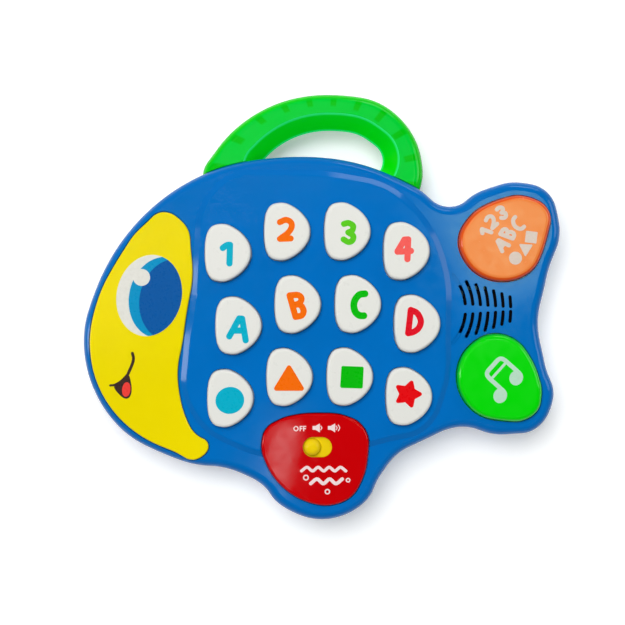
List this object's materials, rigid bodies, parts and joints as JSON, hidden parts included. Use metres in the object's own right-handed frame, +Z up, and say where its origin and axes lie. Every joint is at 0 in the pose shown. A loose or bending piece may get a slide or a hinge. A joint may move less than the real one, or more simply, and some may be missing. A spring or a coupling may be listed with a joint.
{
  "type": "fish-shaped learning pad",
  "caption": "Fish-shaped electronic learning pad with letter, number and shape keys, tail buttons, sliding volume switch, speaker grille, battery door and clear carrying handle.",
  "frame": {"origin": "on the surface that the toy lies on, under the middle of its whole outline", "axes": "+X from the nose to the tail, +Y towards the carrying handle, +Z up out of the keys"},
  "size_m": [0.2598, 0.2324, 0.0362],
  "materials": {
    "blue_housing": "glossy moulded",
    "green_handle": "clear tinted moulded",
    "yellow_plate": "glossy moulded",
    "red_panel": "glossy moulded",
    "orange_button": "satin moulded",
    "green_button": "satin moulded",
    "white_key": "satin moulded",
    "grey_rubber": "moulded silicone",
    "circuit_board": "laminate",
    "black_plastic": "moulded",
    "switch_metal": "pressed sheet",
    "speaker_film": "thin film",
    "magnet": "ferrite",
    "black_cloth": "woven",
    "screw_steel": "zinc plated",
    "cell_wrap": "printed wrap",
    "contact_metal": "nickel plated",
    "red_lead": "insulation",
    "black_lead": "insulation"
  },
  "bodies": {
    "housing": {"back_shell": "blue_housing", "battery_cells": "cell_wrap", "battery_contacts": "contact_metal", "battery_leads": "red_lead", "battery_springs": "contact_metal", "board_screws": "screw_steel", "button_leads": "black_lead", "clamp_screws": "screw_steel", "face_plate": "yellow_plate", "front_shell": "blue_housing", "handle_back": "green_handle", "handle_front": "green_handle", "housing_screws": "screw_steel", "key_mat": "grey_rubber", "main_board": "circuit_board", "mode_button_board": "circuit_board", "mode_button_dome": "grey_rubber", "music_button_board": "circuit_board", "music_button_dome": "grey_rubber", "slide_switch": "switch_metal", "sound_chip": "black_plastic", "speaker_clamp": "black_plastic", "speaker_cloth": "black_cloth", "speaker_cone": "speaker_film", "speaker_frame": "switch_metal", "speaker_leads": "red_lead", "speaker_magnet": "magnet", "switch_board": "circuit_board", "switch_leads": "black_lead", "switch_panel": "red_panel"},
    "push_key_1": {"key_1": "white_key"},
    "push_key_2": {"key_2": "white_key"},
    "push_key_3": {"key_3": "white_key"},
    "push_key_4": {"key_4": "white_key"},
    "push_key_a": {"key_a": "white_key"},
    "push_key_b": {"key_b": "white_key"},
    "push_key_c": {"key_c": "white_key"},
    "push_key_d": {"key_d": "white_key"},
    "push_key_circle": {"key_circle": "white_key"},
    "push_key_triangle": {"key_triangle": "white_key"},
    "push_key_square": {"key_square": "white_key"},
    "push_key_star": {"key_star": "white_key"},
    "push_mode_button": {"mode_button": "orange_button"},
    "push_music_button": {"music_button": "green_button"},
    "volume_slider": {"slider_knob": "yellow_plate", "switch_lever": "black_plastic"},
    "battery_door": {"battery_cover": "blue_housing", "cover_screw": "screw_steel"}
  },
  "joints": [
    {"name": "key_1_press", "type": "slide", "parent": "housing", "child": "push_key_1", "axis": [0, 0, -1], "range_m": [0, 0.002], "stiffness_N_per_m": 400, "springref_m": -0.001, "deforming": ["key_mat"]},
    {"name": "key_2_press", "type": "slide", "parent": "housing", "child": "push_key_2", "axis": [0, 0, -1], "range_m": [0, 0.002], "stiffness_N_per_m": 400, "springref_m": -0.001, "deforming": ["key_mat"]},
    {"name": "key_3_press", "type": "slide", "parent": "housing", "child": "push_key_3", "axis": [0, 0, -1], "range_m": [0, 0.002], "stiffness_N_per_m": 400, "springref_m": -0.001, "deforming": ["key_mat"]},
    {"name": "key_4_press", "type": "slide", "parent": "housing", "child": "push_key_4", "axis": [0, 0, -1], "range_m": [0, 0.002], "stiffness_N_per_m": 400, "springref_m": -0.001, "deforming": ["key_mat"]},
    {"name": "key_a_press", "type": "slide", "parent": "housing", "child": "push_key_a", "axis": [0, 0, -1], "range_m": [0, 0.002], "stiffness_N_per_m": 400, "springref_m": -0.001, "deforming": ["key_mat"]},
    {"name": "key_b_press", "type": "slide", "parent": "housing", "child": "push_key_b", "axis": [0, 0, -1], "range_m": [0, 0.002], "stiffness_N_per_m": 400, "springref_m": -0.001, "deforming": ["key_mat"]},
    {"name": "key_c_press", "type": "slide", "parent": "housing", "child": "push_key_c", "axis": [0, 0, -1], "range_m": [0, 0.002], "stiffness_N_per_m": 400, "springref_m": -0.001, "deforming": ["key_mat"]},
    {"name": "key_d_press", "type": "slide", "parent": "housing", "child": "push_key_d", "axis": [0, 0, -1], "range_m": [0, 0.002], "stiffness_N_per_m": 400, "springref_m": -0.001, "deforming": ["key_mat"]},
    {"name": "key_circle_press", "type": "slide", "parent": "housing", "child": "push_key_circle", "axis": [0, 0, -1], "range_m": [0, 0.002], "stiffness_N_per_m": 400, "springref_m": -0.001, "deforming": ["key_mat"]},
    {"name": "key_triangle_press", "type": "slide", "parent": "housing", "child": "push_key_triangle", "axis": [0, 0, -1], "range_m": [0, 0.002], "stiffness_N_per_m": 400, "springref_m": -0.001, "deforming": ["key_mat"]},
    {"name": "key_square_press", "type": "slide", "parent": "housing", "child": "push_key_square", "axis": [0, 0, -1], "range_m": [0, 0.002], "stiffness_N_per_m": 400, "springref_m": -0.001, "deforming": ["key_mat"]},
    {"name": "key_star_press", "type": "slide", "parent": "housing", "child": "push_key_star", "axis": [0, 0, -1], "range_m": [0, 0.002], "stiffness_N_per_m": 400, "springref_m": -0.001, "deforming": ["key_mat"]},
    {"name": "mode_button_press", "type": "slide", "parent": "housing", "child": "push_mode_button", "axis": [0, 0, -1], "range_m": [0, 0.002], "stiffness_N_per_m": 400, "springref_m": -0.001, "deforming": ["mode_button_dome"]},
    {"name": "music_button_press", "type": "slide", "parent": "housing", "child": "push_music_button", "axis": [0, 0, -1], "range_m": [0, 0.002], "stiffness_N_per_m": 400, "springref_m": -0.001, "deforming": ["music_button_dome"]},
    {"name": "volume_slide", "type": "slide", "parent": "housing", "child": "volume_slider", "axis": [1, 0, 0], "range_m": [0, 0.0055]},
    {"name": "battery_door_hinge", "type": "hinge", "parent": "housing", "child": "battery_door", "pos_m": [-0.02645, -0.00302, 0.0015], "axis": [0, 1, 0], "range_deg": [0, 70]}
  ]
}
